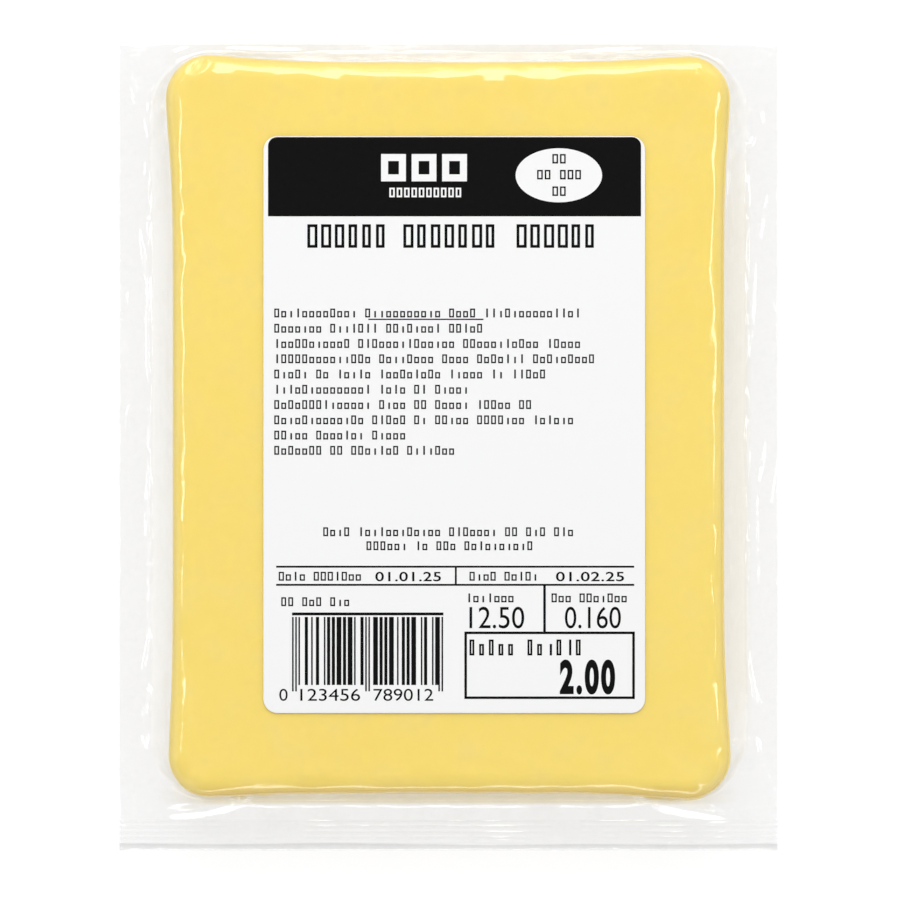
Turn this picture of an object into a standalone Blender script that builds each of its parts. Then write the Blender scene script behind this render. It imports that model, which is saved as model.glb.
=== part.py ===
"""A vacuum pouch of sliced cheese with a paper label, lying on its back.

Blender 4.5, metres, +Z up. The origin is on the table under the middle of the pouch, +Y points to the
end of the pouch that the label's heading is at, and +X to the label's right.

The pouch is two webs of clear film round a stack of slices. The film hugs the stack, then the two
webs meet half way up its sides and run out together as a thin flange, which is heat sealed all round.
Pouch and stack are one closed solid, and the label is a second one on top of it.
"""

import math

import bmesh
import bpy
from mathutils import Vector

# The stack of slices. Its long sides are drawn in a little, so the four corners stand out.
SLICE_COUNT = 6
SLICE_THICKNESS = 0.00225
STACK_WIDTH = 0.0870
STACK_LENGTH = 0.1152
STACK_SHIFT_Y = 0.0032
STACK_CORNER_RADIUS = 0.0070
CORNER_FLARE = 0.0009
CORNER_REACH = 0.0130
EAR_HEIGHT = 0.0005
TOP_EDGE_RADIUS = 0.0026
BOTTOM_EDGE_RADIUS = 0.0020

# The pouch. The films meet along a line of its own, nearer the stack at the head than at the sides.
FILM_THICKNESS = 0.0001
POUCH_WIDTH = 0.1042
POUCH_LENGTH = 0.1276
POUCH_CORNER_RADIUS = 0.0005
MEETING_WIDTH = 0.0946
MEETING_LENGTH = 0.1190
MEETING_SHIFT_Y = 0.0030
MEETING_CORNER_RADIUS = 0.0100
MEETING_HEIGHT = 0.0064
EDGE_HEIGHT = 0.0056
FLANGE_THICKNESS = 0.0005
RIPPLE_HEIGHT = 0.00045
RIPPLES_LONG = 9
RIPPLES_SHORT = 23
RIPPLE_REACH = 0.0100

# The label.
LABEL_WIDTH = 0.0600
LABEL_LENGTH = 0.0907
LABEL_SHIFT_X = 0.0009
LABEL_SHIFT_Y = 0.0036
LABEL_CORNER_RADIUS = 0.0022
LABEL_THICKNESS = 0.0002
CLEARANCE = 0.0003

# How finely the curves are cut.
STEPS_ACROSS = 16
STEPS_ALONG = 20
CORNER_STEPS = 7
EDGE_STEPS = 4
SLOPE_STEPS = 5
FLANGE_STEPS = 4

TOP_HEIGHT = SLICE_COUNT * SLICE_THICKNESS + FILM_THICKNESS


def rounded_rectangle(width, length, radius, shift_y=0.0):
    """(point, outward normal) round a rectangle with round corners, starting on its right side."""
    half = Vector((width / 2 - radius, length / 2 - radius, 0))
    centre = Vector((0, shift_y, 0))
    outline = []
    for quarter, (sign_x, sign_y) in enumerate(((1, 1), (-1, 1), (-1, -1), (1, -1))):
        corner = centre + Vector((sign_x * half.x, sign_y * half.y, 0))
        for step in range(CORNER_STEPS + 1):
            angle = math.radians(90) * (quarter + step / CORNER_STEPS)
            normal = Vector((math.cos(angle), math.sin(angle), 0))
            outline.append((corner + radius * normal, normal))
        steps = STEPS_ALONG if quarter % 2 else STEPS_ACROSS
        way = Vector((-normal.y, normal.x, 0))
        run = 2 * (half.y if quarter % 2 else half.x)
        start = corner + radius * normal
        outline += [(start + way * run * step / steps, normal) for step in range(1, steps)]
    return outline


def nearness_to_corner(point):
    """1 at a corner of the stack, falling to 0 along its sides."""
    across = STACK_WIDTH / 2 - STACK_CORNER_RADIUS - abs(point.x)
    along = STACK_LENGTH / 2 - STACK_CORNER_RADIUS - abs(point.y - STACK_SHIFT_Y)
    away = max(across, 0) + max(along, 0)
    return math.exp(-((away / CORNER_REACH) ** 2))


def stack_ring(inset, height, ear=0.0):
    """A loop round the stack, drawn in by inset, with its corners flared and lifted."""
    ring = []
    for point, normal in STACK_OUTLINE:
        near = nearness_to_corner(point)
        spot = point + normal * (CORNER_FLARE * near - inset)
        spot.z = height + ear * near
        ring.append(spot)
    return ring


def edge_rings(radius, face_height, upward, ear):
    """The loops of the rounded edge between a flat face of the stack and its side."""
    rings = []
    for step in range(EDGE_STEPS + 1):
        angle = math.radians(90) * step / EDGE_STEPS
        inset = radius * (1 - math.sin(angle))
        drop = radius * (1 - math.cos(angle))
        rings.append(stack_ring(inset, face_height - upward * drop, ear * math.cos(angle)))
    return rings


def slope_rings(side_ring, film_height):
    """The loops of one web of film from the stack's side out to the line where the webs meet."""
    rings = []
    for step in range(1, SLOPE_STEPS + 1):
        out = step / SLOPE_STEPS
        ring = []
        for side, (meeting, _) in zip(side_ring, MEETING_OUTLINE):
            spot = side.lerp(meeting, out)
            spot.z = film_height + (side.z - film_height) * (1 - out) ** 2
            ring.append(spot)
        rings.append(ring)
    return rings


def ripple(index, edge):
    """The flange's rise and fall, by place round the pouch. It dies away at the four corners."""
    turn = 2 * math.pi * index / len(POUCH_OUTLINE)
    to_corner = max(POUCH_WIDTH / 2 - abs(edge.x), POUCH_LENGTH / 2 - abs(edge.y))
    fade = min(to_corner / RIPPLE_REACH, 1)
    wave = 0.6 * math.sin(RIPPLES_LONG * turn) + 0.4 * math.sin(RIPPLES_SHORT * turn)
    return RIPPLE_HEIGHT * wave * fade


def flange_rings(offset):
    """The loops of one face of the flange, from just past the meeting line to the cut edge."""
    rings = []
    for step in range(1, FLANGE_STEPS + 1):
        out = step / FLANGE_STEPS
        ring = []
        for index, ((meeting, _), (edge, _)) in enumerate(zip(MEETING_OUTLINE, POUCH_OUTLINE)):
            spot = meeting.lerp(edge, out)
            fall = MEETING_HEIGHT + (EDGE_HEIGHT - MEETING_HEIGHT) * out
            spot.z = fall + offset + ripple(index, edge) * out
            ring.append(spot)
        rings.append(ring)
    return rings


def new_object(name, mesh_data, material):
    mesh = bpy.data.meshes.new(name)
    bmesh.ops.recalc_face_normals(mesh_data, faces=mesh_data.faces)
    mesh_data.to_mesh(mesh)
    mesh_data.free()
    mesh.materials.append(material)
    thing = bpy.data.objects.new(name, mesh)
    bpy.context.scene.collection.objects.link(thing)
    return thing


def skin_of(rings):
    """A closed body through loops of equal length, with a flat face on the first and the last."""
    body = bmesh.new()
    first = [body.verts.new(spot) for spot in rings[0]]
    edges = [body.edges.new((first[i - 1], first[i])) for i in range(len(first))]
    bmesh.ops.contextual_create(body, geom=edges)
    loop = first
    for ring in rings[1:]:
        made = bmesh.ops.extrude_edge_only(body, edges=edges)["geom"]
        twin = {}
        for face in (f for f in made if isinstance(f, bmesh.types.BMFace)):
            for edge in face.edges:
                ends = [v for v in edge.verts if v in set(loop)]
                if len(ends) == 1:
                    twin[ends[0]] = edge.other_vert(ends[0])
        loop = [twin[v] for v in loop]
        for vert, spot in zip(loop, ring):
            vert.co = spot
        edges = [body.edges.get((loop[i - 1], loop[i])) for i in range(len(loop))]
    bmesh.ops.contextual_create(body, geom=edges)
    return body


def plain_material(name, colour, roughness):
    material = bpy.data.materials.new(name)
    material.use_nodes = True
    shader = material.node_tree.nodes["Principled BSDF"]
    shader.inputs["Base Color"].default_value = (*colour, 1)
    shader.inputs["Roughness"].default_value = roughness
    shader.inputs["Metallic"].default_value = 0.0
    return material


def make_pouch():
    """From the flat top out over the edge and down to the flange, then back in under the stack."""
    top = [stack_ring(inset, TOP_HEIGHT, ear) for inset, ear in CROWN_STATIONS]
    top += edge_rings(TOP_EDGE_RADIUS, TOP_HEIGHT, 1, EAR_HEIGHT)
    top += slope_rings(top[-1], MEETING_HEIGHT + FLANGE_THICKNESS / 2)
    top += flange_rings(FLANGE_THICKNESS / 2)
    under = edge_rings(BOTTOM_EDGE_RADIUS, 0, -1, 0)
    under += slope_rings(under[-1], MEETING_HEIGHT - FLANGE_THICKNESS / 2)
    under += flange_rings(-FLANGE_THICKNESS / 2)
    pouch = skin_of(top + under[::-1])
    return new_object("pouch", pouch, plain_material("cheese_in_film", (0.96, 0.73, 0.17), 0.25))


def make_label():
    outline = rounded_rectangle(LABEL_WIDTH, LABEL_LENGTH, LABEL_CORNER_RADIUS)
    place = Vector((LABEL_SHIFT_X, LABEL_SHIFT_Y, TOP_HEIGHT + CLEARANCE))
    under = [point + place for point, _ in outline]
    label = skin_of([[spot + Vector((0, 0, LABEL_THICKNESS)) for spot in under], under])
    return new_object("label", label, plain_material("label_paper", (0.92, 0.92, 0.92), 0.55))


# Loops on the flat top, as (inset, ear height): flat under the label, then up to the corners' ears.
CROWN_STATIONS = ((0.0090, 0.0), (0.0055, 0.6 * EAR_HEIGHT), (0.0038, 0.95 * EAR_HEIGHT))
STACK_OUTLINE = rounded_rectangle(STACK_WIDTH, STACK_LENGTH, STACK_CORNER_RADIUS, STACK_SHIFT_Y)
MEETING_OUTLINE = rounded_rectangle(
    MEETING_WIDTH, MEETING_LENGTH, MEETING_CORNER_RADIUS, MEETING_SHIFT_Y
)
POUCH_OUTLINE = rounded_rectangle(POUCH_WIDTH, POUCH_LENGTH, POUCH_CORNER_RADIUS)

for thing in list(bpy.data.objects):
    bpy.data.objects.remove(thing)
make_pouch()
make_label()
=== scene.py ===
import math
import random

import bmesh
import bpy
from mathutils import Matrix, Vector, noise


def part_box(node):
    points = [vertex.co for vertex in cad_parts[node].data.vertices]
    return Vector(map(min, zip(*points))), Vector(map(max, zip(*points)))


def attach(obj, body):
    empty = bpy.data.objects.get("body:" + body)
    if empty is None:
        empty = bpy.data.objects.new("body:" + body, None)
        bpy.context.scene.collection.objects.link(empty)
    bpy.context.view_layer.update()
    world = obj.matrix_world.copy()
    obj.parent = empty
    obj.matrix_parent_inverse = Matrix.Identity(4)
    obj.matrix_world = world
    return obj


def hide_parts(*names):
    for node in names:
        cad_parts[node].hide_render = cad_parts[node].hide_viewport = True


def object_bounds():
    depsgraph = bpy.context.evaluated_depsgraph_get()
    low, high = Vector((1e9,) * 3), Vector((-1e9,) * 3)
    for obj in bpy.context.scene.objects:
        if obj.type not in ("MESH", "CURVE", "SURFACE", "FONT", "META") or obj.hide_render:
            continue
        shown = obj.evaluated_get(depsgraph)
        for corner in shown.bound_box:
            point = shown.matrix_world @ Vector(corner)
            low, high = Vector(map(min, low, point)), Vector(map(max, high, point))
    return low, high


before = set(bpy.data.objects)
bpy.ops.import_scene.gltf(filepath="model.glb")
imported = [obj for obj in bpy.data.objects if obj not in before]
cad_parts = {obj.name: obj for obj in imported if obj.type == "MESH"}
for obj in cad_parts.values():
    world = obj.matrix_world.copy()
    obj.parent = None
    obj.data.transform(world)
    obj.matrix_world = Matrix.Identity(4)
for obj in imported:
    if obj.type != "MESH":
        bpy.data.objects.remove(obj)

cad_low, cad_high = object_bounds()
MM = 0.001

# ---------------------------------------------------------------------------------------------------
# The six slices of cheddar. Young cheddar, cut square from a block, 2.2 mm a slice, laid one on the
# other and pressed together by the vacuum. The film has rounded over the top and bottom slices' edges
# and drawn the long sides in, so that the four corners stand out.

SLICES = 6
SLICE_THICKNESS = 2.22 * MM
SLICE_GAP = 0.04 * MM
STACK_WIDTH = 87.0 * MM
STACK_LENGTH = 115.2 * MM
STACK_MIDDLE = Vector((0.0, 3.2 * MM, 0.0))
STACK_CORNER = 6.0 * MM
CORNER_REACH = 13.0 * MM
# How far each corner stands out: right far, left far, left near, right near.
CORNER_FLARE = {(1, 1): 1.0 * MM, (-1, 1): 1.2 * MM, (-1, -1): 0.7 * MM, (1, -1): 1.1 * MM}
EAR_HEIGHT = 0.40 * MM
EDGE_SPREAD = 1.25
CRUST_RADIUS = 2.5 * MM
FOOT_RADIUS = 1.8 * MM
CUT_RADIUS = 0.30 * MM
CUT_TURNS = (0, 0.4, 0.8, 1.2, 1.571)
SLICE_LEAN = 0.12 * MM
# How the corners' rise falls away over the top: inset from the side, in mm, and share of the height.
EAR_FALL = ((3.9, 0.97), (4.8, 0.9), (6.2, 0.6), (8.0, 0.25), (10.0, 0.05), (12.0, 0.0))
pouch_low, pouch_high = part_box("pouch")
label_low, label_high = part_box("label")
FILM_TOP = label_low.z - 0.3 * MM
STACK_FOOT = pouch_low.z + 0.1 * MM


def way_round(width, length, radius, middle, corner_steps, across, along):
    """(point, outward normal) round a rectangle with round corners, from its right side."""
    half = Vector((width / 2 - radius, length / 2 - radius, 0))
    outline = []
    for quarter, (sign_x, sign_y) in enumerate(((1, 1), (-1, 1), (-1, -1), (1, -1))):
        centre = middle + Vector((sign_x * half.x, sign_y * half.y, 0))
        for step in range(corner_steps + 1):
            angle = math.radians(90) * (quarter + step / corner_steps)
            normal = Vector((math.cos(angle), math.sin(angle), 0))
            outline.append((centre + radius * normal, normal))
        steps = along if quarter % 2 else across
        way = Vector((-normal.y, normal.x, 0))
        run = 2 * (half.y if quarter % 2 else half.x)
        start = centre + radius * normal
        outline += [(start + way * run * step / steps, normal) for step in range(1, steps)]
    return outline


def corner_pull(point):
    """(how near a corner is, from 0 to 1, how far the side stands out there)."""
    near, out = 0.0, 0.0
    for (sign_x, sign_y), flare in CORNER_FLARE.items():
        corner = STACK_MIDDLE + Vector((sign_x * STACK_WIDTH / 2, sign_y * STACK_LENGTH / 2, 0))
        away = (Vector((point.x, point.y, 0)) - corner).length
        pull = math.exp(-((max(away - 0.4 * STACK_CORNER, 0) / CORNER_REACH) ** 2))
        near += pull
        out += flare * pull
    return near, out


def stack_ring(steps, inset, height, ear=0.0, middle=STACK_MIDDLE):
    """A loop round the stack, inset from its side."""
    ring = []
    corner = max(STACK_CORNER - inset, 2 * MM)
    size = (STACK_WIDTH - 2 * inset, STACK_LENGTH - 2 * inset)
    for point, normal in way_round(*size, corner, middle, *steps):
        near, out = corner_pull(point)
        spot = point + normal * out
        spot.z = height + ear * near
        ring.append(spot)
    return ring


def quarter_turn(radius, steps):
    """(inset, drop) down a rounded edge, from its flat face to its side. Pressed edges are wider
    than they are deep."""
    turns = [math.radians(90) * step / steps for step in range(steps + 1)]
    return [
        (EDGE_SPREAD * radius * (1 - math.sin(turn)), radius * (1 - math.cos(turn))) for turn in turns
    ]


def pressed_in(height, foot, head):
    """How far the stack's edge is pressed in at a height, between its foot and its head."""
    inset = 0.0
    for radius, drop in ((CRUST_RADIUS, head - height), (FOOT_RADIUS, height - foot)):
        up = min(max(1 - drop / radius, 0), 1)
        inset += EDGE_SPREAD * radius * (1 - math.sqrt(1 - up * up))
    return inset


def skin_of(rings):
    """A closed body: a grid rolled into a tube through the rings, with a face over each end."""
    around = len(rings[0])
    last = len(rings) - 1
    body = bmesh.new()
    bmesh.ops.create_grid(body, x_segments=around, y_segments=last, size=1)
    for vert in body.verts:
        column = round((vert.co.x + 1) / 2 * around) % around
        vert.co = rings[round((vert.co.y + 1) / 2 * last)][column]
    bmesh.ops.remove_doubles(body, verts=body.verts, dist=1e-7)
    bmesh.ops.holes_fill(body, edges=[e for e in body.edges if e.is_boundary], sides=0)
    bmesh.ops.recalc_face_normals(body, faces=body.faces)
    return body


def new_piece(name, body, material, smooth=True):
    """The bmesh as a piece of the pack, riding on its one body."""
    mesh = bpy.data.meshes.new(name)
    body.to_mesh(mesh)
    body.free()
    mesh.materials.append(material)
    if smooth:
        mesh.shade_smooth()
    piece = bpy.data.objects.new(name, mesh)
    bpy.context.scene.collection.objects.link(piece)
    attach(piece, "root")
    return piece


def linear(colour):
    """An sRGB hex colour as linear red, green, blue and 1."""
    parts = [int(colour[i : i + 2], 16) / 255 for i in (1, 3, 5)]
    return [c / 12.92 if c < 0.04045 else ((c + 0.055) / 1.055) ** 2.4 for c in parts] + [1.0]


def new_material(name):
    material = bpy.data.materials.new(name)
    material.use_nodes = True
    material.node_tree.nodes.clear()
    return material


def add_node(owner, kind, inputs=None, **settings):
    """Adds a node. inputs gives each socket a value or another node's output."""
    node = owner.node_tree.nodes.new(kind)
    for name, value in settings.items():
        setattr(node, name, value)
    for socket, value in (inputs or {}).items():
        if isinstance(value, bpy.types.NodeSocket):
            owner.node_tree.links.new(value, node.inputs[socket])
        else:
            node.inputs[socket].default_value = value
    return node


# Young cheddar: dense, close and slightly waxy, so light goes a millimetre or two in and the gloss is
# soft. Its colour shifts a little over 25 mm, and its surface has a faint 2 mm unevenness.
cheddar = new_material("young_cheddar")
place = add_node(cheddar, "ShaderNodeTexCoord").outputs["Object"]
clouds = add_node(
    cheddar, "ShaderNodeTexNoise", {"Vector": place, "Scale": 1 / (25 * MM), "Detail": 2.0}
)
curd = add_node(
    cheddar, "ShaderNodeMix", {"Factor": clouds.outputs["Fac"]}, data_type="RGBA"
)
curd.inputs[6].default_value = linear("#FDDF6A")
curd.inputs[7].default_value = linear("#FEE375")
sheen = add_node(
    cheddar,
    "ShaderNodeMapRange",
    {"Value": clouds.outputs["Fac"], "To Min": 0.42, "To Max": 0.58},
)
grain = add_node(
    cheddar, "ShaderNodeTexNoise", {"Vector": place, "Scale": 1 / (2 * MM), "Detail": 1.0}
)
unevenness = add_node(
    cheddar,
    "ShaderNodeBump",
    {"Height": grain.outputs["Fac"], "Strength": 0.15, "Distance": 0.05 * MM},
)
body = add_node(
    cheddar,
    "ShaderNodeBsdfPrincipled",
    {
        "Base Color": curd.outputs[2],
        "Roughness": sheen.outputs["Result"],
        "Normal": unevenness.outputs["Normal"],
        "IOR": 1.45,
        "Specular IOR Level": 0.3,
        "Subsurface Weight": 0.12,
        "Subsurface Scale": 2 * MM,
        "Subsurface Radius": (1.0, 0.7, 0.25),
    },
)
add_node(cheddar, "ShaderNodeOutputMaterial", {"Surface": body.outputs["BSDF"]})

chance = random.Random(7)
STACK_HEAD = STACK_FOOT + SLICES * SLICE_THICKNESS
CHEESE_STEPS = (12, 36, 44)
cut = [(CUT_RADIUS * (1 - math.sin(t)), CUT_RADIUS * (1 - math.cos(t))) for t in CUT_TURNS]
for number in range(SLICES):
    foot = STACK_FOOT + number * SLICE_THICKNESS
    head = foot + SLICE_THICKNESS - SLICE_GAP
    slipped = Vector((chance.uniform(-0.12, 0.12), chance.uniform(-0.12, 0.12), 0)) * MM
    trim = chance.uniform(0.0, 0.25) * MM
    slipped.y -= SLICE_LEAN * (SLICES - 1 - number)
    middle = STACK_MIDDLE + slipped
    top_slice = number == SLICES - 1
    stations = [(inset, foot + drop) for inset, drop in cut]
    if number == 0:
        stations = [(0.0, foot + drop) for _, drop in quarter_turn(FOOT_RADIUS, 6)]
    if top_slice:
        fall = [drop for _, drop in quarter_turn(CRUST_RADIUS, 14)]
        stations += [(0.0, head - drop) for drop in fall[::-1] if head - drop > foot + CUT_RADIUS]
    else:
        stations += [(inset, head - drop) for inset, drop in cut[::-1]]
    ear = EAR_HEIGHT if top_slice else 0.0
    rings = [stack_ring(CHEESE_STEPS, 10 * MM, foot, 0, middle)]
    for inset, height in stations:
        inset += trim + pressed_in(height, STACK_FOOT, STACK_HEAD - SLICE_GAP)
        lift = ear * max(0.0, 1 - (head - height) / CRUST_RADIUS)
        rings.append(stack_ring(CHEESE_STEPS, inset, height, lift, middle))
    for inset, share in EAR_FALL:
        rings.append(stack_ring(CHEESE_STEPS, inset * MM, head, ear * share, middle))
    piece = new_piece(f"cheese_slice_{number + 1}", skin_of(rings), cheddar)
    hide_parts("pouch")

# ---------------------------------------------------------------------------------------------------
# The pouch. Two webs of clear polyamide and polyethylene laminate, 0.09 mm thick. The vacuum draws
# them tight over the stack, they meet about half way up its sides, and they run out together as a
# thin creased flange. A ribbed bar seals the near end, and its cut edge curls down a little.

FILM_OFF = 0.18 * MM
WEB_GAP = 0.10 * MM
LEAVES_AT = 0.75
MEETING_WIDTH = 94.6 * MM
MEETING_LENGTH = 118.4 * MM
MEETING_MIDDLE = Vector((0.0, 3.3 * MM, 0.0))
MEETING_CORNER = 10.0 * MM
MEETING_HEIGHT = 6.4 * MM
EDGE_FALL = 0.8 * MM
FLANGE_SLOPE = 0.13
SEAL_FAR = -58.8 * MM
SEAL_NEAR = -62.7 * MM
RIB_PITCH = 0.9 * MM
EDGE_CURL = 0.35 * MM
RIB_HEIGHT = 0.06 * MM
# Insets in mm of the film's loops on the flat top, which is closed by one face inside the first.
CROWN_INSETS = (16, 14, 12, 10.5, 9.3, 8.3, 7.4, 6.6, 5.9, 5.3, 4.8, 4.4, 4.0, 3.7)
ARC_STEPS = 14
FILM_STEPS = (36, 150, 200)
SLOPE_STEPS = 12
FLANGE_STEPS = 32
pouch_half = Vector(((pouch_high.x - pouch_low.x) / 2, (pouch_high.y - pouch_low.y) / 2, 0))

film_stack = way_round(STACK_WIDTH, STACK_LENGTH, STACK_CORNER, STACK_MIDDLE, *FILM_STEPS)
film_meeting = way_round(
    MEETING_WIDTH, MEETING_LENGTH, MEETING_CORNER, MEETING_MIDDLE, *FILM_STEPS
)


def cut_edge():
    """The pouch's straight cut outline, met by rays out of the stack's corners and sides."""
    outline = []
    for point, normal in film_stack:
        start = point - normal * STACK_CORNER
        reach = []
        for axis in (0, 1):
            if abs(normal[axis]) > 1e-6:
                wall = math.copysign(pouch_half[axis], normal[axis])
                reach.append((wall - start[axis]) / normal[axis])
        outline.append(start + normal * min(reach))
    for sign_x in (1, -1):
        for sign_y in (1, -1):
            corner = Vector((sign_x * pouch_half.x, sign_y * pouch_half.y, 0))
            nearest = min(range(len(outline)), key=lambda i: (outline[i] - corner).length)
            outline[nearest] = corner
    return outline


film_edge = cut_edge()


def wave(x, y, z=0.0, seed=0.0):
    """Smooth noise of about -1 to 1 at a place given in wavelengths."""
    return noise.noise(Vector((x + 17.3 * seed, y - 9.1 * seed, z + 5.7 * seed))) * 1.6


def ridge(value):
    """1 along the lines where the value passes 0, falling away to each side: a crease."""
    return math.exp(-((value / 0.16) ** 2))


def wrinkle(index, away, zone, under=0.0):
    """How far the film stands off its smooth shape, along its own normal. away is the distance out
    from the stack's side, in mm. zone is 0 on the stack, 1 at the meeting line, 2 at the cut edge."""
    meeting = film_meeting[index][0] / MM
    near = film_near[index]
    drift = away + 1.8 * wave(meeting.x / 9, meeting.y / 9, 0, 1 + under)
    along = wave(meeting.x / 7, meeting.y / 7, drift / 2.0, 2 + under)
    long_crease = ridge(wave(meeting.x / 14, meeting.y / 14, drift / 1.8, 3 + under))
    gather = wave(meeting.x / 2.6, meeting.y / 2.6, away / 7, 4 + under)
    fine = wave(meeting.x / 2.2, meeting.y / 2.2, away / 0.9, 5 + under)
    on_stack = max(0.0, 1 - zone * 2)
    on_wall = math.exp(-(((zone - 0.7) / 0.3) ** 2))
    on_flange = min(max((zone - 0.75) / 0.3, 0), 1)
    rise = on_stack * 0.16 * along * min(max((away + 7) / 4, 0), 1)
    rise += on_wall * (0.10 + 0.20 * near) * gather
    creased = 0.16 * along + 0.10 * long_crease + 0.03 * fine - 0.10
    rise += on_flange * creased * film_wide[index] ** 1.5
    pinch = math.exp(-(((zone - 1.0) / 0.10) ** 2))
    rise += pinch * 0.22 * max(0.0, 0.2 + 1.2 * wave(meeting.x / 13, meeting.y / 13, 0, 6 + under))
    rise += on_flange * near * 0.14 * gather
    return rise * MM


# Small folds where the film is gathered at the stack's corners: middle, half size, turn in degrees
# and height, in mm.
FOLDS = (
    (-39.6, 59.8, 2.3, 1.2, 30, 0.30),
    (41.2, 59.7, 2.0, 1.0, -40, 0.22),
    (38.4, 56.8, 0.9, 0.5, -20, 0.12),
    (40.9, -50.6, 1.3, 2.0, -25, 0.22),
    (-40.3, -46.8, 1.1, 0.5, 30, 0.07),
    (-36.6, 46.4, 1.7, 0.25, -45, 0.07),
)


def folds(spot):
    """The rim of each small fold, standing proud."""
    rise = 0.0
    for x, y, half_x, half_y, turn, height in FOLDS:
        across, along = spot.x / MM - x, spot.y / MM - y
        if abs(across) > 6 or abs(along) > 6:
            continue
        cos, sin = math.cos(math.radians(turn)), math.sin(math.radians(turn))
        u = (across * cos + along * sin) / half_x
        v = (along * cos - across * sin) / half_y
        rise += height * math.exp(-(((math.hypot(u, v) - 1) / 0.38) ** 2))
    return rise * MM


# The sharp creases of the flange: both ends and half width, in mm. A wide one stands higher.
CREASE_STEEPNESS = 0.55
CREASES = (
    # Left side, from the far end.
    (-50.6, 60.4, -49.0, 52.4, 0.42),
    (-48.9, 54.8, -46.8, 47.6, 0.30),
    (-45.6, 61.8, -41.0, 63.2, 0.30),
    (-47.7, 46.9, -47.9, 42.0, 0.25),
    (-48.6, 36.0, -47.4, 26.0, 0.45),
    (-47.4, 27.0, -47.2, 10.0, 0.32),
    (-47.5, -0.6, -47.0, -12.0, 0.28),
    (-47.0, -10.5, -47.5, -23.0, 0.25),
    (-47.0, -29.0, -48.4, -38.6, 0.42),
    (-47.3, -38.0, -48.2, -46.6, 0.40),
    # Right side, from the far end.
    (51.9, 62.0, 47.8, 59.2, 0.40),
    (48.5, 58.5, 49.6, 50.0, 0.45),
    (48.8, 50.4, 47.4, 46.4, 0.40),
    (50.5, 41.8, 48.5, 30.6, 0.45),
    (48.6, 31.6, 47.7, 15.8, 0.32),
    (46.0, 11.9, 48.7, 13.0, 0.22),
    (47.1, 10.8, 47.3, 5.4, 0.22),
    (50.0, 1.6, 48.6, -6.4, 0.45),
    (48.6, -5.2, 48.8, -25.0, 0.34),
    (46.8, -30.2, 48.0, -38.6, 0.25),
    (47.3, -35.6, 48.6, -42.4, 0.45),
    (48.3, -45.2, 50.0, -53.4, 0.50),
    (50.0, -50.6, 51.7, -56.0, 0.35),
    # Far end.
    (-36.0, 63.0, -23.0, 62.7, 0.35),
    (17.2, 62.2, 31.4, 63.0, 0.35),
)


# The fold along the near end, in mm. Past its two peaks it becomes a gusset, whose near side is a
# long even slope.
FOLD_Y = -56.5
FOLD_WIDTH = 0.36
FOLD_HEIGHT = 1.12 * FOLD_WIDTH
GUSSET_WIDTH = 1.5
GUSSET_HEIGHT = 0.72 * GUSSET_WIDTH


def near_fold(x):
    """Where the fold along the near end lies: it peaks twice, and drops away beyond the peaks."""
    lines = []
    for side, peak in ((-1, 32.9), (1, 31.8)):
        beyond = x * side - peak
        fall = 0.13 * beyond if beyond > 0 else 0.0
        lines.append(FOLD_Y + 1.0 * math.exp(-abs(beyond) / 1.7) - fall)
    return lines[0] if x < 0 else lines[1]


def crease(spot):
    """How high the sharp creases and the near fold stand at a place."""
    x, y = spot.x / MM, spot.y / MM
    rise = 0.0
    for start_x, start_y, end_x, end_y, half in CREASES:
        if not (min(start_y, end_y) - 2 < y < max(start_y, end_y) + 2 and abs(x - start_x) < 16):
            continue
        run_x, run_y = end_x - start_x, end_y - start_y
        length = math.hypot(run_x, run_y)
        part = ((x - start_x) * run_x + (y - start_y) * run_y) / length**2
        if not 0 < part < 1:
            continue
        beside = ((x - start_x) * run_y - (y - start_y) * run_x) / length
        beside += 0.08 * wave(x / 3, y / 4, 0, 21)
        taper = math.sin(math.pi * part) ** 0.7
        across = math.exp(-((beside / half) ** 2))
        rise += CREASE_STEEPNESS * half * taper * across
    if y < -50:
        beside = y - near_fold(x) - 0.10 * wave(x / 4, 0, 0, 22)
        strength = 0.90 + 0.20 * wave(x / 6, 0, 0, 23)
        strength *= min(max((46.5 - abs(x)) / 4, 0), 1)
        gusset = min(max((abs(x) - 30) / 3, 0), 1)
        high = FOLD_HEIGHT + gusset * (GUSSET_HEIGHT - FOLD_HEIGHT)
        if beside < 0:
            slope = max(1 + beside / GUSSET_WIDTH, 0)
            across = slope * gusset + math.exp(-((beside / FOLD_WIDTH) ** 2)) * (1 - gusset)
        else:
            across = math.exp(-((beside / (FOLD_WIDTH + 0.5 * gusset)) ** 2))
        rise += high * strength * across
    return rise * MM


def in_seal(spot):
    """1 inside the sealed band, with soft edges."""
    far = min(max((SEAL_FAR - spot.y) / (0.5 * MM), 0), 1)
    near = min(max((spot.y - SEAL_NEAR) / (0.5 * MM), 0), 1)
    return far * near


film_near = [min(corner_pull(point)[0], 1.0) for point, normal in film_stack]
# How wide the flange is, up to 1 for 4.5 mm. The narrow far flange is drawn flatter than the rest.
film_wide = [
    min((edge - meeting).length / (4.5 * MM), 1.0) for (meeting, _), edge in zip(film_meeting, film_edge)
]


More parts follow.
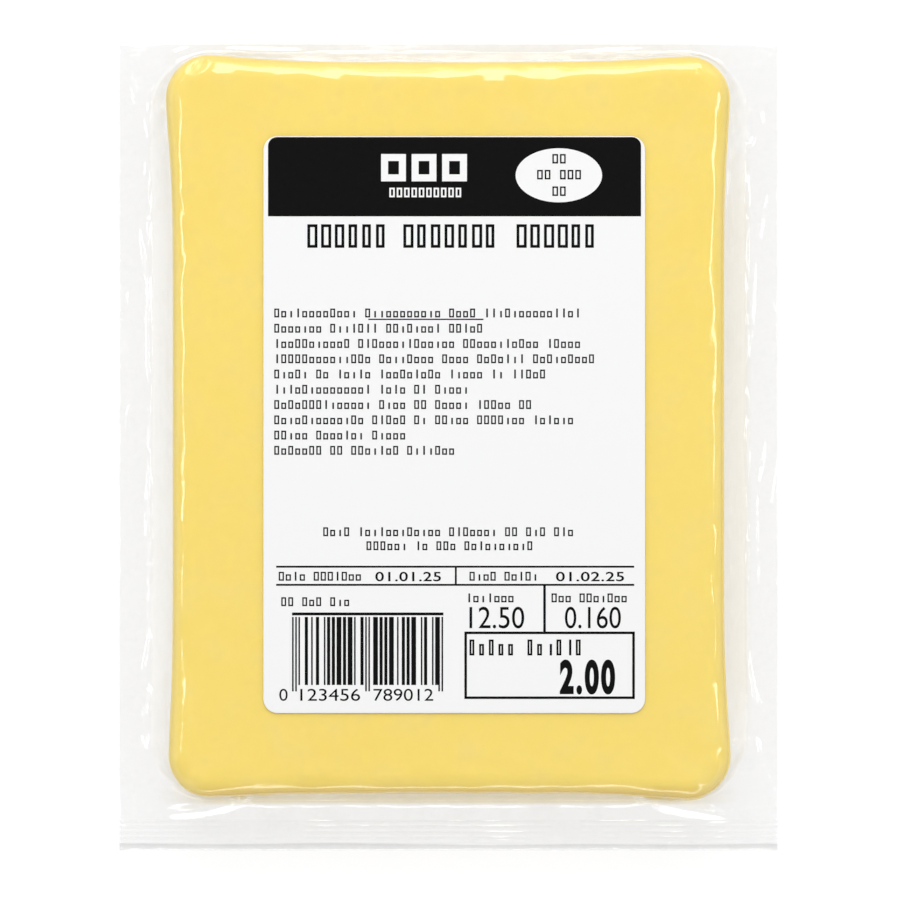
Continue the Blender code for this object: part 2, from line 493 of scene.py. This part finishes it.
def web_ring(ring, zone, tilt, aways, under=0.0, off=0.0):
    """A loop of the film: the smooth ring pushed along the film's normal by its wrinkles."""
    shaped = []
    for index, spot in enumerate(ring):
        normal = film_stack[index][1] * math.sin(tilt)
        normal.z = math.cos(tilt) * (-1 if under and zone <= 1 else 1)
        push = wrinkle(index, aways[index], zone, under if zone <= 1 else 0.0)
        if zone < 0.4 and not under:
            push += folds(spot)
        if zone > 0.35 and not (under and zone <= 1):
            push += crease(spot)
        new = spot + normal * push
        if zone > 0.9:
            sealed = in_seal(spot)
            new.z -= normal.z * push * sealed * 0.65
            ribs = math.sin(2 * math.pi * spot.y / RIB_PITCH)
            new.z += sealed * RIB_HEIGHT * ribs * (0.6 + 0.5 * wave(spot.x / MM / 5, 0, 0, 8))
            curl = min(max((SEAL_NEAR - spot.y) / (1.2 * MM), 0), 1)
            new.z -= EDGE_CURL * curl**2
        new.z = max(new.z + off, pouch_low.z)
        shaped.append(new)
    return shaped


def meeting_rings(side, height, steps, under, off):
    """The film's loops from the stack's side to the line where the two webs meet."""
    rings = []
    for step in range(1, steps + 1):
        out = step / steps
        ring = []
        for spot, (meeting, _) in zip(side, film_meeting):
            point = spot.lerp(meeting, out)
            point.z = height + (spot.z - height) * (1 - out) ** 1.6
            ring.append(point)
        tilt = math.radians(65) * (1 - out)
        aways = [out * 3.8] * len(ring)
        rings.append(web_ring(ring, out, tilt, aways, under, off))
    return rings


def flange_rings(steps, off):
    """The flange's loops from just past the meeting line to the cut edge."""
    rings = []
    for step in range(1, steps + 1):
        out = step / steps
        ring, aways = [], []
        for index, ((meeting, _), edge) in enumerate(zip(film_meeting, film_edge)):
            point = meeting.lerp(edge, out)
            sway = wave(meeting.x / MM / 24, meeting.y / MM / 24, 0, 9) * 0.5 * MM * film_wide[index]
            fall = min(EDGE_FALL, FLANGE_SLOPE * (edge - meeting).length) * film_wide[index]
            point.z = MEETING_HEIGHT - fall * out + sway * out
            ring.append(point)
            aways.append(3.8 + (point - meeting).length / MM)
        rings.append(web_ring(ring, 1 + out, 0.0, aways, 0.0, off))
    return rings


rings = []
for inset in CROWN_INSETS:
    lift = min(max((11.0 - inset) / 7.0, 0), 1)
    lift = lift * lift * (3 - 2 * lift)
    ring = stack_ring(FILM_STEPS, inset * MM, FILM_TOP, EAR_HEIGHT * lift)
    rings.append(web_ring(ring, 0.0, 0.0, [-inset] * len(ring)))


def edge_of_web(radius, face, up, steps, ear=0.0, under=0.0):
    """The film's loops over a rounded edge of the stack, from the flat face to where it leaves the
    stack, still leaning in."""
    loops = []
    for step in range(steps + 1):
        turn = LEAVES_AT * step / steps
        inset = EDGE_SPREAD * radius * (1 - math.sin(math.radians(90) * turn))
        drop = radius * (1 - math.cos(math.radians(90) * turn))
        ring = stack_ring(FILM_STEPS, inset - FILM_OFF, face - up * drop, ear * (1 - turn))
        aways = [-inset / MM] * len(ring)
        loops.append(web_ring(ring, 0.3 * turn, math.radians(90) * turn, aways, under))
    return loops


rings += edge_of_web(CRUST_RADIUS + FILM_OFF, FILM_TOP, 1, ARC_STEPS, EAR_HEIGHT)
rings += meeting_rings(rings[-1], MEETING_HEIGHT, SLOPE_STEPS, 0.0, WEB_GAP / 2)
rings += flange_rings(FLANGE_STEPS, WEB_GAP / 2)
under = [stack_ring(FILM_STEPS, inset, pouch_low.z) for inset in (12 * MM, 5 * MM)]
under += edge_of_web(FOOT_RADIUS, pouch_low.z, -1, 6, 0.0, 20.0)
under += meeting_rings(under[-1], MEETING_HEIGHT, 8, 20.0, -WEB_GAP / 2)
under += flange_rings(FLANGE_STEPS // 2, -WEB_GAP / 2)

# Clear PA/PE laminate: each web passes nearly all light and mirrors a little, more at a slant.
# Drawing leaves it faintly hazed, the sealing bar leaves the near band cloudier, with fine ribs
# along it, and beyond the seal the cut edge is painted grey, a painted shade for the shadow under its
# curl.
film = new_material("clear_laminate_film")
place = add_node(film, "ShaderNodeTexCoord").outputs["Object"]
split = add_node(film, "ShaderNodeSeparateXYZ", {"Vector": place})
crinkle = add_node(
    film, "ShaderNodeTexNoise", {"Vector": place, "Scale": 1 / (1.4 * MM), "Detail": 3.0}
)
relief = add_node(
    film,
    "ShaderNodeBump",
    {"Height": crinkle.outputs["Fac"], "Strength": 0.35, "Distance": 0.12 * MM},
)
band_far = add_node(
    film,
    "ShaderNodeMapRange",
    {"Value": split.outputs["Y"], "From Min": SEAL_FAR - 0.3 * MM, "From Max": SEAL_FAR},
)
bends = add_node(
    film, "ShaderNodeTexNoise", {"Vector": place, "Scale": 1 / (30 * MM), "Detail": 1.0}
)
wandering = add_node(
    film,
    "ShaderNodeMath",
    {0: bends.outputs["Fac"], 1: 0.9 * MM, 2: split.outputs["Y"]},
    operation="MULTIPLY_ADD",
)
band_near = add_node(
    film,
    "ShaderNodeMapRange",
    {
        "Value": wandering.outputs["Value"],
        "From Min": SEAL_NEAR + 0.25 * MM,
        "From Max": SEAL_NEAR + 0.45 * MM,
    },
)
beyond = add_node(
    film, "ShaderNodeMath", {0: 1.0, 1: band_near.outputs["Result"]}, operation="SUBTRACT"
)
band = add_node(
    film,
    "ShaderNodeMath",
    {0: band_near.outputs["Result"], 1: band_far.outputs["Result"]},
    operation="SUBTRACT",
    use_clamp=True,
)
patches = add_node(
    film, "ShaderNodeTexNoise", {"Vector": place, "Scale": 1 / (9 * MM), "Detail": 2.0}
)
pressed = add_node(
    film,
    "ShaderNodeMapRange",
    {"Value": patches.outputs["Fac"], "From Min": 0.42, "From Max": 0.58},
)
pressed = add_node(
    film,
    "ShaderNodeMath",
    {0: pressed.outputs["Result"], 1: band.outputs["Value"]},
    operation="MULTIPLY",
)
turns = add_node(
    film, "ShaderNodeMath", {0: split.outputs["Y"], 1: 2 * math.pi / RIB_PITCH}, operation="MULTIPLY"
)
rib = add_node(film, "ShaderNodeMath", {0: turns.outputs["Value"]}, operation="SINE")
rib = add_node(
    film,
    "ShaderNodeMath",
    {0: rib.outputs["Value"], 1: pressed.outputs["Value"]},
    operation="MULTIPLY",
)
ribbed = add_node(
    film,
    "ShaderNodeBump",
    {
        "Height": rib.outputs["Value"],
        "Strength": 0.6,
        "Distance": 0.06 * MM,
        "Normal": relief.outputs["Normal"],
    },
)
slant = add_node(
    film, "ShaderNodeLayerWeight", {"Blend": 0.5, "Normal": ribbed.outputs["Normal"]}
)
steep = add_node(film, "ShaderNodeMath", {0: slant.outputs["Facing"], 1: 3.5}, operation="POWER")
mirrored = add_node(
    film,
    "ShaderNodeMath",
    {0: steep.outputs["Value"], 1: 0.90, 2: 0.072},
    operation="MULTIPLY_ADD",
    use_clamp=True,
)
# Painted warm shade: the film is tinted brownish where the pack's shadow falls and the cheese throws
# yellow light back, along the fold at the near end, thinly along the right side and thinner still past
# the far end, where it fades towards the cut edge.
SHADE_NEAR = (-53.0 * MM, -54.6 * MM, -56.0 * MM, -56.6 * MM)
SHADE_RIGHT = (42.6 * MM, 44.0 * MM, 47.0 * MM, 48.0 * MM)
SHADE_FAR = (60.3 * MM, 60.7 * MM, 61.0 * MM, 63.6 * MM)
UNSHADED_WEB = (0.99, 0.99, 0.99, 1)
SHADED_WEB = (0.92, 0.88, 0.78, 1)
aside = add_node(film, "ShaderNodeMath", {0: split.outputs["X"]}, operation="ABSOLUTE")
aside = add_node(
    film,
    "ShaderNodeMapRange",
    {"Value": aside.outputs["Value"], "From Min": 46 * MM, "From Max": 34 * MM},
)
near_shade_edge = add_node(
    film,
    "ShaderNodeMapRange",
    {"Value": split.outputs["Y"], "From Min": SHADE_NEAR[3], "From Max": SHADE_NEAR[2]},
)
starts = add_node(
    film,
    "ShaderNodeMapRange",
    {"Value": split.outputs["Y"], "From Min": SHADE_NEAR[0], "From Max": SHADE_NEAR[1]},
)
painted_shade = add_node(
    film,
    "ShaderNodeMath",
    {0: near_shade_edge.outputs["Result"], 1: starts.outputs["Result"]},
    operation="MULTIPLY",
)
painted_shade = add_node(
    film, "ShaderNodeMath", {0: painted_shade.outputs["Value"], 1: aside.outputs["Result"]}, operation="MULTIPLY"
)
inner = add_node(
    film,
    "ShaderNodeMapRange",
    {"Value": split.outputs["X"], "From Min": SHADE_RIGHT[0], "From Max": SHADE_RIGHT[1]},
)
outer = add_node(
    film,
    "ShaderNodeMapRange",
    {"Value": split.outputs["X"], "From Min": SHADE_RIGHT[3], "From Max": SHADE_RIGHT[2]},
)
side = add_node(
    film,
    "ShaderNodeMath",
    {0: inner.outputs["Result"], 1: outer.outputs["Result"]},
    operation="MULTIPLY",
)
length = add_node(film, "ShaderNodeMath", {0: split.outputs["Y"]}, operation="ABSOLUTE")
length = add_node(
    film,
    "ShaderNodeMapRange",
    {"Value": length.outputs["Value"], "From Min": 48 * MM, "From Max": 36 * MM, "To Max": 0.30},
)
painted_shade = add_node(
    film,
    "ShaderNodeMath",
    {0: side.outputs["Value"], 1: length.outputs["Result"], 2: painted_shade.outputs["Value"]},
    operation="MULTIPLY_ADD",
    use_clamp=True,
)
past_far_end = add_node(
    film,
    "ShaderNodeMapRange",
    {"Value": split.outputs["Y"], "From Min": SHADE_FAR[0], "From Max": SHADE_FAR[1]},
)
far_shade_fade = add_node(
    film,
    "ShaderNodeMapRange",
    {
        "Value": split.outputs["Y"],
        "From Min": SHADE_FAR[3],
        "From Max": SHADE_FAR[2],
        "To Min": 0.20,
        "To Max": 0.42,
    },
)
far_shade_fade = add_node(
    film,
    "ShaderNodeMath",
    {0: far_shade_fade.outputs["Result"], 1: aside.outputs["Result"]},
    operation="MULTIPLY",
)
painted_shade = add_node(
    film,
    "ShaderNodeMath",
    {0: past_far_end.outputs["Result"], 1: far_shade_fade.outputs["Value"], 2: painted_shade.outputs["Value"]},
    operation="MULTIPLY_ADD",
    use_clamp=True,
)
# The light the film lets through takes the painted warm shade.
passed = add_node(film, "ShaderNodeMix", {"Factor": painted_shade.outputs["Value"]}, data_type="RGBA")
passed.inputs[6].default_value = UNSHADED_WEB
passed.inputs[7].default_value = SHADED_WEB
clear = add_node(film, "ShaderNodeBsdfTransparent", {"Color": passed.outputs[2]})
gloss = add_node(
    film,
    "ShaderNodeBsdfAnisotropic",
    {"Color": (0.92, 0.92, 0.92, 1), "Roughness": 0.13, "Normal": ribbed.outputs["Normal"]},
)
web = add_node(
    film,
    "ShaderNodeMixShader",
    {0: mirrored.outputs["Value"], 1: clear.outputs["BSDF"], 2: gloss.outputs["BSDF"]},
)
cloud = add_node(
    film, "ShaderNodeTexNoise", {"Vector": place, "Scale": 1 / (5 * MM), "Detail": 4.0}
)
haze = add_node(
    film,
    "ShaderNodeMapRange",
    {"Value": cloud.outputs["Fac"], "From Min": 0.45, "From Max": 0.75, "To Min": 0.0, "To Max": 0.05},
)
sealed = add_node(
    film,
    "ShaderNodeMath",
    {0: band.outputs["Value"], 1: 0.06, 2: haze.outputs["Result"]},
    operation="MULTIPLY_ADD",
)
ridged = add_node(
    film,
    "ShaderNodeMath",
    {0: rib.outputs["Value"], 1: 0.08, 2: sealed.outputs["Value"]},
    operation="MULTIPLY_ADD",
    use_clamp=True,
)
# Painted shade: beyond the seal the film turns grey towards the cut edge, for the shadow under its curl.
cut = add_node(
    film,
    "ShaderNodeMapRange",
    {"Value": split.outputs["Y"], "From Min": pouch_low.y, "From Max": SEAL_NEAR, "To Min": 0.4},
)
cut = add_node(
    film,
    "ShaderNodeMath",
    {0: cut.outputs["Result"], 1: beyond.outputs["Value"]},
    operation="MULTIPLY",
)
haze_and_edge_shade = add_node(
    film,
    "ShaderNodeMath",
    {0: cut.outputs["Value"], 1: 0.26, 2: ridged.outputs["Value"]},
    operation="MULTIPLY_ADD",
    use_clamp=True,
)
# The haze layer's colour: near white, and painted grey shade at the cut edge.
tint = add_node(film, "ShaderNodeMix", {"Factor": cut.outputs["Value"]}, data_type="RGBA")
tint.inputs[6].default_value = linear("#F6F6F6")
tint.inputs[7].default_value = linear("#C4C4C4")
haze_and_shade_layer = add_node(
    film,
    "ShaderNodeBsdfPrincipled",
    {"Base Color": tint.outputs[2], "Roughness": 0.35, "Normal": ribbed.outputs["Normal"]},
)
surface = add_node(
    film,
    "ShaderNodeMixShader",
    {0: haze_and_edge_shade.outputs["Value"], 1: web.outputs["Shader"], 2: haze_and_shade_layer.outputs["BSDF"]},
)
add_node(film, "ShaderNodeOutputMaterial", {"Surface": surface.outputs["Shader"]})

pouch = new_piece("film_pouch", skin_of(rings + under[::-1]), film)
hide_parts("pouch")

# ---------------------------------------------------------------------------------------------------
# The label. Coated thermal paper, die cut with round corners from a 60 mm roll and stuck on the film.

LABEL_CORNER = 2.2 * MM
PAPER_THICKNESS = 0.10 * MM
label_middle = Vector(((label_low.x + label_high.x) / 2, (label_low.y + label_high.y) / 2, 0))
label_width = label_high.x - label_low.x
label_length = label_high.y - label_low.y
PAPER_TOP = FILM_TOP + 0.01 * MM + PAPER_THICKNESS

paper = new_material("coated_thermal_paper")
place = add_node(paper, "ShaderNodeTexCoord").outputs["Object"]
fibre = add_node(
    paper, "ShaderNodeTexNoise", {"Vector": place, "Scale": 1 / (0.5 * MM), "Detail": 3.0}
)
tooth = add_node(
    paper,
    "ShaderNodeBump",
    {"Height": fibre.outputs["Fac"], "Strength": 0.1, "Distance": 0.02 * MM},
)
body = add_node(
    paper,
    "ShaderNodeBsdfPrincipled",
    {
        "Base Color": linear("#ECECEC"),
        "Roughness": 0.55,
        "Normal": tooth.outputs["Normal"],
        "Specular IOR Level": 0.3,
    },
)
add_node(paper, "ShaderNodeOutputMaterial", {"Surface": body.outputs["BSDF"]})

# The paper's section from its underside to its top: inset in mm, and drop in thicknesses.
PAPER_SECTION = ((0.25, 1.0), (0.0, 1.0), (0.0, 0.25), (0.02, 0.07), (0.07, 0.0), (0.6, 0.0))
outline = way_round(label_width, label_length, LABEL_CORNER, label_middle, 12, 12, 16)
rings = []
for inset, drop in PAPER_SECTION:
    rings.append([])
    for point, normal in outline:
        spot = point - normal * inset * MM
        spot.z = PAPER_TOP - drop * PAPER_THICKNESS
        rings[-1].append(spot)
piece = new_piece("paper_label", skin_of(rings), paper)
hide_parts("label")

# ---------------------------------------------------------------------------------------------------
# The print. The scale's thermal head has burnt it black into the paper. Each letter is a small open
# box or a stem, and the numbers are made up. Places are mm from the label's far left corner.

INK_HEIGHT = 0.012 * MM
label_corner = Vector((label_low.x, label_high.y, PAPER_TOP))

ink = new_material("thermal_print_black")
place = add_node(ink, "ShaderNodeTexCoord").outputs["Object"]
mottle = add_node(
    ink, "ShaderNodeTexNoise", {"Vector": place, "Scale": 1 / (0.8 * MM), "Detail": 2.0}
)
burnt = add_node(ink, "ShaderNodeMix", {"Factor": mottle.outputs["Fac"]}, data_type="RGBA")
burnt.inputs[6].default_value = linear("#060606")
burnt.inputs[7].default_value = linear("#0D0D0D")
body = add_node(
    ink,
    "ShaderNodeBsdfPrincipled",
    {"Base Color": burnt.outputs[2], "Roughness": 0.7, "Specular IOR Level": 0.08},
)
add_node(ink, "ShaderNodeOutputMaterial", {"Surface": body.outputs["BSDF"]})

printed = bmesh.new()


def block(left, top, width, height, target=printed):
    """A printed rectangle."""
    made = bmesh.ops.create_cube(target, size=1)
    bmesh.ops.scale(target, verts=made["verts"], vec=(width * MM, height * MM, 2 * INK_HEIGHT))
    middle = label_corner + Vector((left + width / 2, -top - height / 2, 0)) * MM
    bmesh.ops.translate(target, verts=made["verts"], vec=middle)


def open_box(left, top, width, height, stroke, target=printed, tall=1):
    """A printed rectangle with an open middle, which stands for one letter."""
    made = bmesh.ops.create_grid(target, x_segments=3, y_segments=3, size=0.5)["verts"]
    across = (0, stroke, width - stroke, width)
    down = (0, stroke, height - stroke, height)
    for vert in made:
        column, row = round((vert.co.x + 0.5) * 3), round((0.5 - vert.co.y) * 3)
        vert.co = label_corner + Vector((left + across[column], -top - down[row], 0)) * MM
    faces = {face for vert in made for face in vert.link_faces}
    middle = [face for face in faces if all(len(vert.link_faces) == 4 for vert in face.verts)]
    bmesh.ops.delete(target, geom=middle, context="FACES")
    faces = [face for face in faces if face.is_valid]
    raised = bmesh.ops.extrude_face_region(target, geom=faces, use_keep_orig=True)["geom"]
    raised = [part for part in raised if isinstance(part, bmesh.types.BMVert)]
    bmesh.ops.translate(target, verts=raised, vec=(0, 0, tall * INK_HEIGHT))


def words(left, middle, letters, pitch, height, weight=0.70, target=printed):
    """A line of words, with an open box or a stem for each letter. A few stand taller."""
    for count in letters:
        for letter in range(count):
            tall = letter == 0 or chance.random() < 0.3
            size = height if tall else 0.72 * height
            top = middle + height / 2 - size
            if chance.random() < 0.25:
                block(left + 0.3 * pitch, top, 0.24 * pitch, size, target)
            else:
                open_box(left, top, pitch * weight, size, 0.20 * pitch, target)
            left += pitch
        left += pitch


# The black heading, whose far corners are round like the label's.
heading = bmesh.new()
block(0.72, 0.14, 58.66, 12.46, heading)
corners = [e for e in heading.edges if abs(e.verts[0].co.z - e.verts[1].co.z) > INK_HEIGHT]
far = [e for e in corners if e.verts[0].co.y > label_corner.y - 1 * MM]
bmesh.ops.bevel(
    heading, geom=far, offset=1.4 * MM, segments=6, profile=0.5, affect="EDGES", material=-1
)
piece = new_piece("label_heading", heading, ink, smooth=False)

# The title's three words.
for left, letters in ((6.9, 6), (22.0, 7), (39.8, 6)):
    for letter in range(letters):
        open_box(left + letter * 2.16, 13.85, chance.choice((1.35, 1.5, 1.6)), 3.7, 0.45)

# Ten lines of small print, the first underlined in part, then two lines in the middle.
SMALL_PITCH = 1.1
SMALL_HEIGHT = 1.4
LINE_PITCH = 2.4
small_print = (
    (12, 11, 4, 14),
    (7, 7, 8, 5),
    (11, 14, 11, 5),
    (14, 8, 4, 7, 9),
    (5, 2, 5, 9, 5, 2, 5),
    (14, 4, 2, 5),
    (14, 4, 2, 5, 5, 2),
    (13, 5, 2, 5, 7, 6),
    (5, 7, 5),
    (7, 2, 7, 7),
)
for line, letters in enumerate(small_print):
    words(1.7, 27.8 + line * LINE_PITCH, letters, SMALL_PITCH, SMALL_HEIGHT)
block(16.5, 28.7, 18.1, 0.2)
words(9.4, 62.2, (4, 12, 7, 2, 3, 3), SMALL_PITCH, SMALL_HEIGHT)
words(16.2, 64.4, (6, 2, 3, 10), SMALL_PITCH, SMALL_HEIGHT)

# Ruled lines and the price box.
block(2.0, 67.55, 56.3, 0.3)
block(2.0, 70.4, 56.3, 0.3)
block(30.1, 67.7, 0.3, 2.8)
block(44.0, 70.6, 0.4, 7.4)
block(31.6, 77.9, 26.8, 0.4)
block(31.6, 88.1, 26.8, 0.4)
block(31.6, 77.9, 0.4, 10.6)
block(58.0, 77.9, 0.4, 10.6)
words(2.4, 69.2, (4, 7), SMALL_PITCH, SMALL_HEIGHT, 0.75)
words(32.4, 69.2, (4, 5), SMALL_PITCH, SMALL_HEIGHT, 0.75)
words(2.8, 73.2, (2, 3, 3), SMALL_PITCH, SMALL_HEIGHT, 0.7)
words(31.9, 72.6, (7,), SMALL_PITCH, SMALL_HEIGHT, 0.75)
words(45.3, 72.6, (3, 7), SMALL_PITCH, SMALL_HEIGHT, 0.75)
words(32.4, 80.4, (5, 6), 1.52, 2.5, 0.5)

# The bar code: guard bars at both ends and in the middle, between them twelve groups of two bars,
# each group seven modules of 0.25 mm wide. It spells no number.
MODULE = 0.25
BARS_TOP = 75.6
BARS_LEFT = 4.5
block(BARS_LEFT, 74.9, 23.8, 0.45)
for module in (0, 2, 46, 48, 92, 94):
    block(BARS_LEFT + module * MODULE, BARS_TOP, MODULE, 11.7)
for group in range(12):
    start = 3 + group * 7 + (5 if group > 5 else 0)
    gap, bar, second_gap = chance.choice(((1, 2, 1), (2, 1, 2), (1, 1, 3), (3, 1, 1), (1, 3, 1)))
    last = min(7 - gap - bar - second_gap, 3)
    block(BARS_LEFT + (start + gap) * MODULE, BARS_TOP, bar * MODULE, 10.7)
    block(
        BARS_LEFT + (start + gap + bar + second_gap) * MODULE, BARS_TOP, last * MODULE, 10.7
    )
bmesh.ops.recalc_face_normals(printed, faces=printed.faces)
piece = new_piece("label_print", printed, ink, smooth=False)

# Plain figures for the dates, the price of a kilogram, the weight, the price and the bar code.
numbers = bmesh.new()


def figures(text, left, top, width, height, boldness=0.0):
    """Figures cut from the built-in face, made to fill the space given."""
    curve = bpy.data.curves.new("figures", "FONT")
    curve.body = text
    curve.size = 1.0
    curve.extrude = 0.5
    curve.offset = boldness
    curve.space_character = 1 + 5 * boldness
    holder = bpy.data.objects.new("figures", curve)
    bpy.context.scene.collection.objects.link(holder)
    mesh = bpy.data.meshes.new_from_object(
        holder.evaluated_get(bpy.context.evaluated_depsgraph_get())
    )
    bpy.data.objects.remove(holder)
    shape = bmesh.new()
    shape.from_mesh(mesh)
    bpy.data.meshes.remove(mesh)
    bmesh.ops.remove_doubles(shape, verts=shape.verts, dist=1e-5)
    low = Vector([min(v.co[axis] for v in shape.verts) for axis in range(3)])
    high = Vector([max(v.co[axis] for v in shape.verts) for axis in range(3)])
    bmesh.ops.translate(shape, verts=shape.verts, vec=-(low + high) / 2)
    fit = Vector((width * MM, height * MM, 2 * INK_HEIGHT))
    fit = Vector([fit[axis] / (high[axis] - low[axis]) for axis in range(3)])
    bmesh.ops.scale(shape, verts=shape.verts, vec=fit)
    middle = label_corner + Vector((left + width / 2, -top - height / 2, 0)) * MM
    bmesh.ops.translate(shape, verts=shape.verts, vec=middle)
    part = bpy.data.meshes.new("figures")
    shape.to_mesh(part)
    shape.free()
    numbers.from_mesh(part)
    bpy.data.meshes.remove(part)


figures("01.01.25", 17.6, 68.5, 10.3, 1.5, 0.012)
figures("01.02.25", 46.0, 68.5, 10.7, 1.5, 0.012)
figures("12.50", 32.4, 74.0, 8.6, 3.4)
figures("0.160", 47.4, 74.0, 8.8, 3.4)
figures("2.00", 46.6, 82.3, 8.7, 5.5, 0.045)
figures("0", 2.5, 86.9, 1.3, 1.9)
figures("123456", 5.8, 86.9, 9.4, 1.9)
figures("789012", 17.3, 86.9, 9.4, 1.9)
bmesh.ops.recalc_face_normals(numbers, faces=numbers.faces)
piece = new_piece("label_figures", numbers, ink, smooth=False)

# What the black heading leaves white: an oval, and open boxes where two lines of words would be.
OVAL_LEFT = 46.45
bare = bmesh.new()
made = bmesh.ops.create_cone(bare, cap_ends=True, segments=64, radius1=1, radius2=1, depth=1)
bmesh.ops.scale(bare, verts=made["verts"], vec=(6.8 * MM, 4.25 * MM, 4 * INK_HEIGHT))
bmesh.ops.translate(
    bare, verts=made["verts"], vec=label_corner + Vector((OVAL_LEFT, -6.15, 0)) * MM
)
for letter in range(3):
    open_box(18.5 + letter * 4.8, 2.8, 3.9, 4.3, 1.1, bare, 2)
for letter in range(10):
    open_box(19.8 + letter * 1.16, 8.1, 0.85, 1.5, 0.26, bare, 2)
bmesh.ops.recalc_face_normals(bare, faces=bare.faces)

# Three short rows of small print in the oval.
marks = bmesh.new()
for top, letters in ((2.8, (2,)), (5.3, (2, 3)), (7.9, (2,))):
    left = OVAL_LEFT - (sum(letters) + len(letters) - 1.3) * 0.6
    for count in letters:
        for letter in range(count):
            open_box(left, top, 0.9, 1.5, 0.24, marks, 3)
            left += 1.2
        left += 1.2
bmesh.ops.recalc_face_normals(marks, faces=marks.faces)
piece = new_piece("label_oval_print", marks, ink, smooth=False)
piece = new_piece("label_oval", bare, paper, smooth=False)

# ---------------------------------------------------------------------------------------------------
# The studio: a plain white table, two large soft lamps beyond the pack's far end, a strip lamp at
# each side and one in front near the table, and a camera straight above. The table glows to the
# camera and in reflections, so that it looks white and the pack's shadow on it stays faint.

floor_mesh = bmesh.new()
bmesh.ops.create_grid(floor_mesh, x_segments=1, y_segments=1, size=3.0)
bmesh.ops.translate(floor_mesh, verts=floor_mesh.verts, vec=(0, 0, cad_low.z - 0.02 * MM))
table_top = new_material("white_table")
white = add_node(table_top, "ShaderNodeBsdfDiffuse", {"Color": (0.21, 0.21, 0.21, 1)})
path = add_node(table_top, "ShaderNodeLightPath")
either = add_node(
    table_top,
    "ShaderNodeMath",
    {0: path.outputs["Is Camera Ray"], 1: path.outputs["Is Glossy Ray"]},
    operation="MAXIMUM",
)
seen = add_node(
    table_top, "ShaderNodeMath", {0: either.outputs["Value"], 1: 0.83}, operation="MULTIPLY"
)
glow = add_node(
    table_top,
    "ShaderNodeEmission",
    {"Color": (1, 1, 1, 1), "Strength": seen.outputs["Value"]},
)
both = add_node(
    table_top, "ShaderNodeAddShader", {0: white.outputs["BSDF"], 1: glow.outputs["Emission"]}
)
add_node(table_top, "ShaderNodeOutputMaterial", {"Surface": both.outputs["Shader"]})
mesh = bpy.data.meshes.new("floor")
floor_mesh.to_mesh(mesh)
floor_mesh.free()
mesh.materials.append(table_top)
floor = bpy.data.objects.new("floor", mesh)
bpy.context.scene.collection.objects.link(floor)

# The room is white, brightest low down, and evenly white to the camera.
world = bpy.data.worlds.new("studio")
bpy.context.scene.world = world
world.use_nodes = True
world.node_tree.nodes.clear()
way = add_node(world, "ShaderNodeTexCoord")
up = add_node(world, "ShaderNodeSeparateXYZ", {"Vector": way.outputs["Generated"]})
fade = add_node(
    world,
    "ShaderNodeMapRange",
    {"Value": up.outputs["Z"], "From Min": 0.25, "From Max": 0.65, "To Min": 1.2, "To Max": 0.52},
    interpolation_type="SMOOTHSTEP",
)
path = add_node(world, "ShaderNodeLightPath")
lit = add_node(
    world,
    "ShaderNodeMath",
    {0: fade.outputs["Result"], 1: path.outputs["Is Camera Ray"]},
    operation="MAXIMUM",
)
room = add_node(
    world, "ShaderNodeBackground", {"Color": (1, 1, 1, 1), "Strength": lit.outputs["Value"]}
)
add_node(world, "ShaderNodeOutputWorld", {"Surface": room.outputs["Background"]})


def lamp(name, place, width, height, power):
    """A soft box that faces the pack."""
    light = bpy.data.lights.new(name, "AREA")
    light.shape = "RECTANGLE"
    light.size = width
    light.size_y = height
    light.energy = power
    thing = bpy.data.objects.new(name, light)
    thing.location = place
    thing.rotation_euler = (-Vector(place)).to_track_quat("-Z", "Y").to_euler()
    bpy.context.scene.collection.objects.link(thing)


lamp("far_softbox", (0.0, 0.64, 0.76), 0.55, 0.52, 2.8)
lamp("far_diffuser", (0.0, 0.76, 0.70), 0.8, 0.8, 2.7)
lamp("left_strip", (-0.52, 0.05, 0.52), 0.14, 0.08, 0.26)
lamp("right_strip", (0.52, 0.05, 0.52), 0.14, 0.08, 0.26)
lamp("near_strip", (0.0, -0.70, 0.23), 0.5, 0.10, 0.6)

LENS = 300.0
SENSOR = 36.0
FRAME_WIDTH = 141.5 * MM
camera = bpy.data.cameras.new("camera")
camera.lens = LENS
camera.sensor_width = SENSOR
camera.clip_end = 20.0
eye = bpy.data.objects.new("camera", camera)
eye.location = (0.0, -0.16 * MM, 10 * MM + FRAME_WIDTH * LENS / SENSOR)
bpy.context.scene.collection.objects.link(eye)
bpy.context.scene.camera = eye
bpy.context.scene.view_settings.view_transform = "Standard"
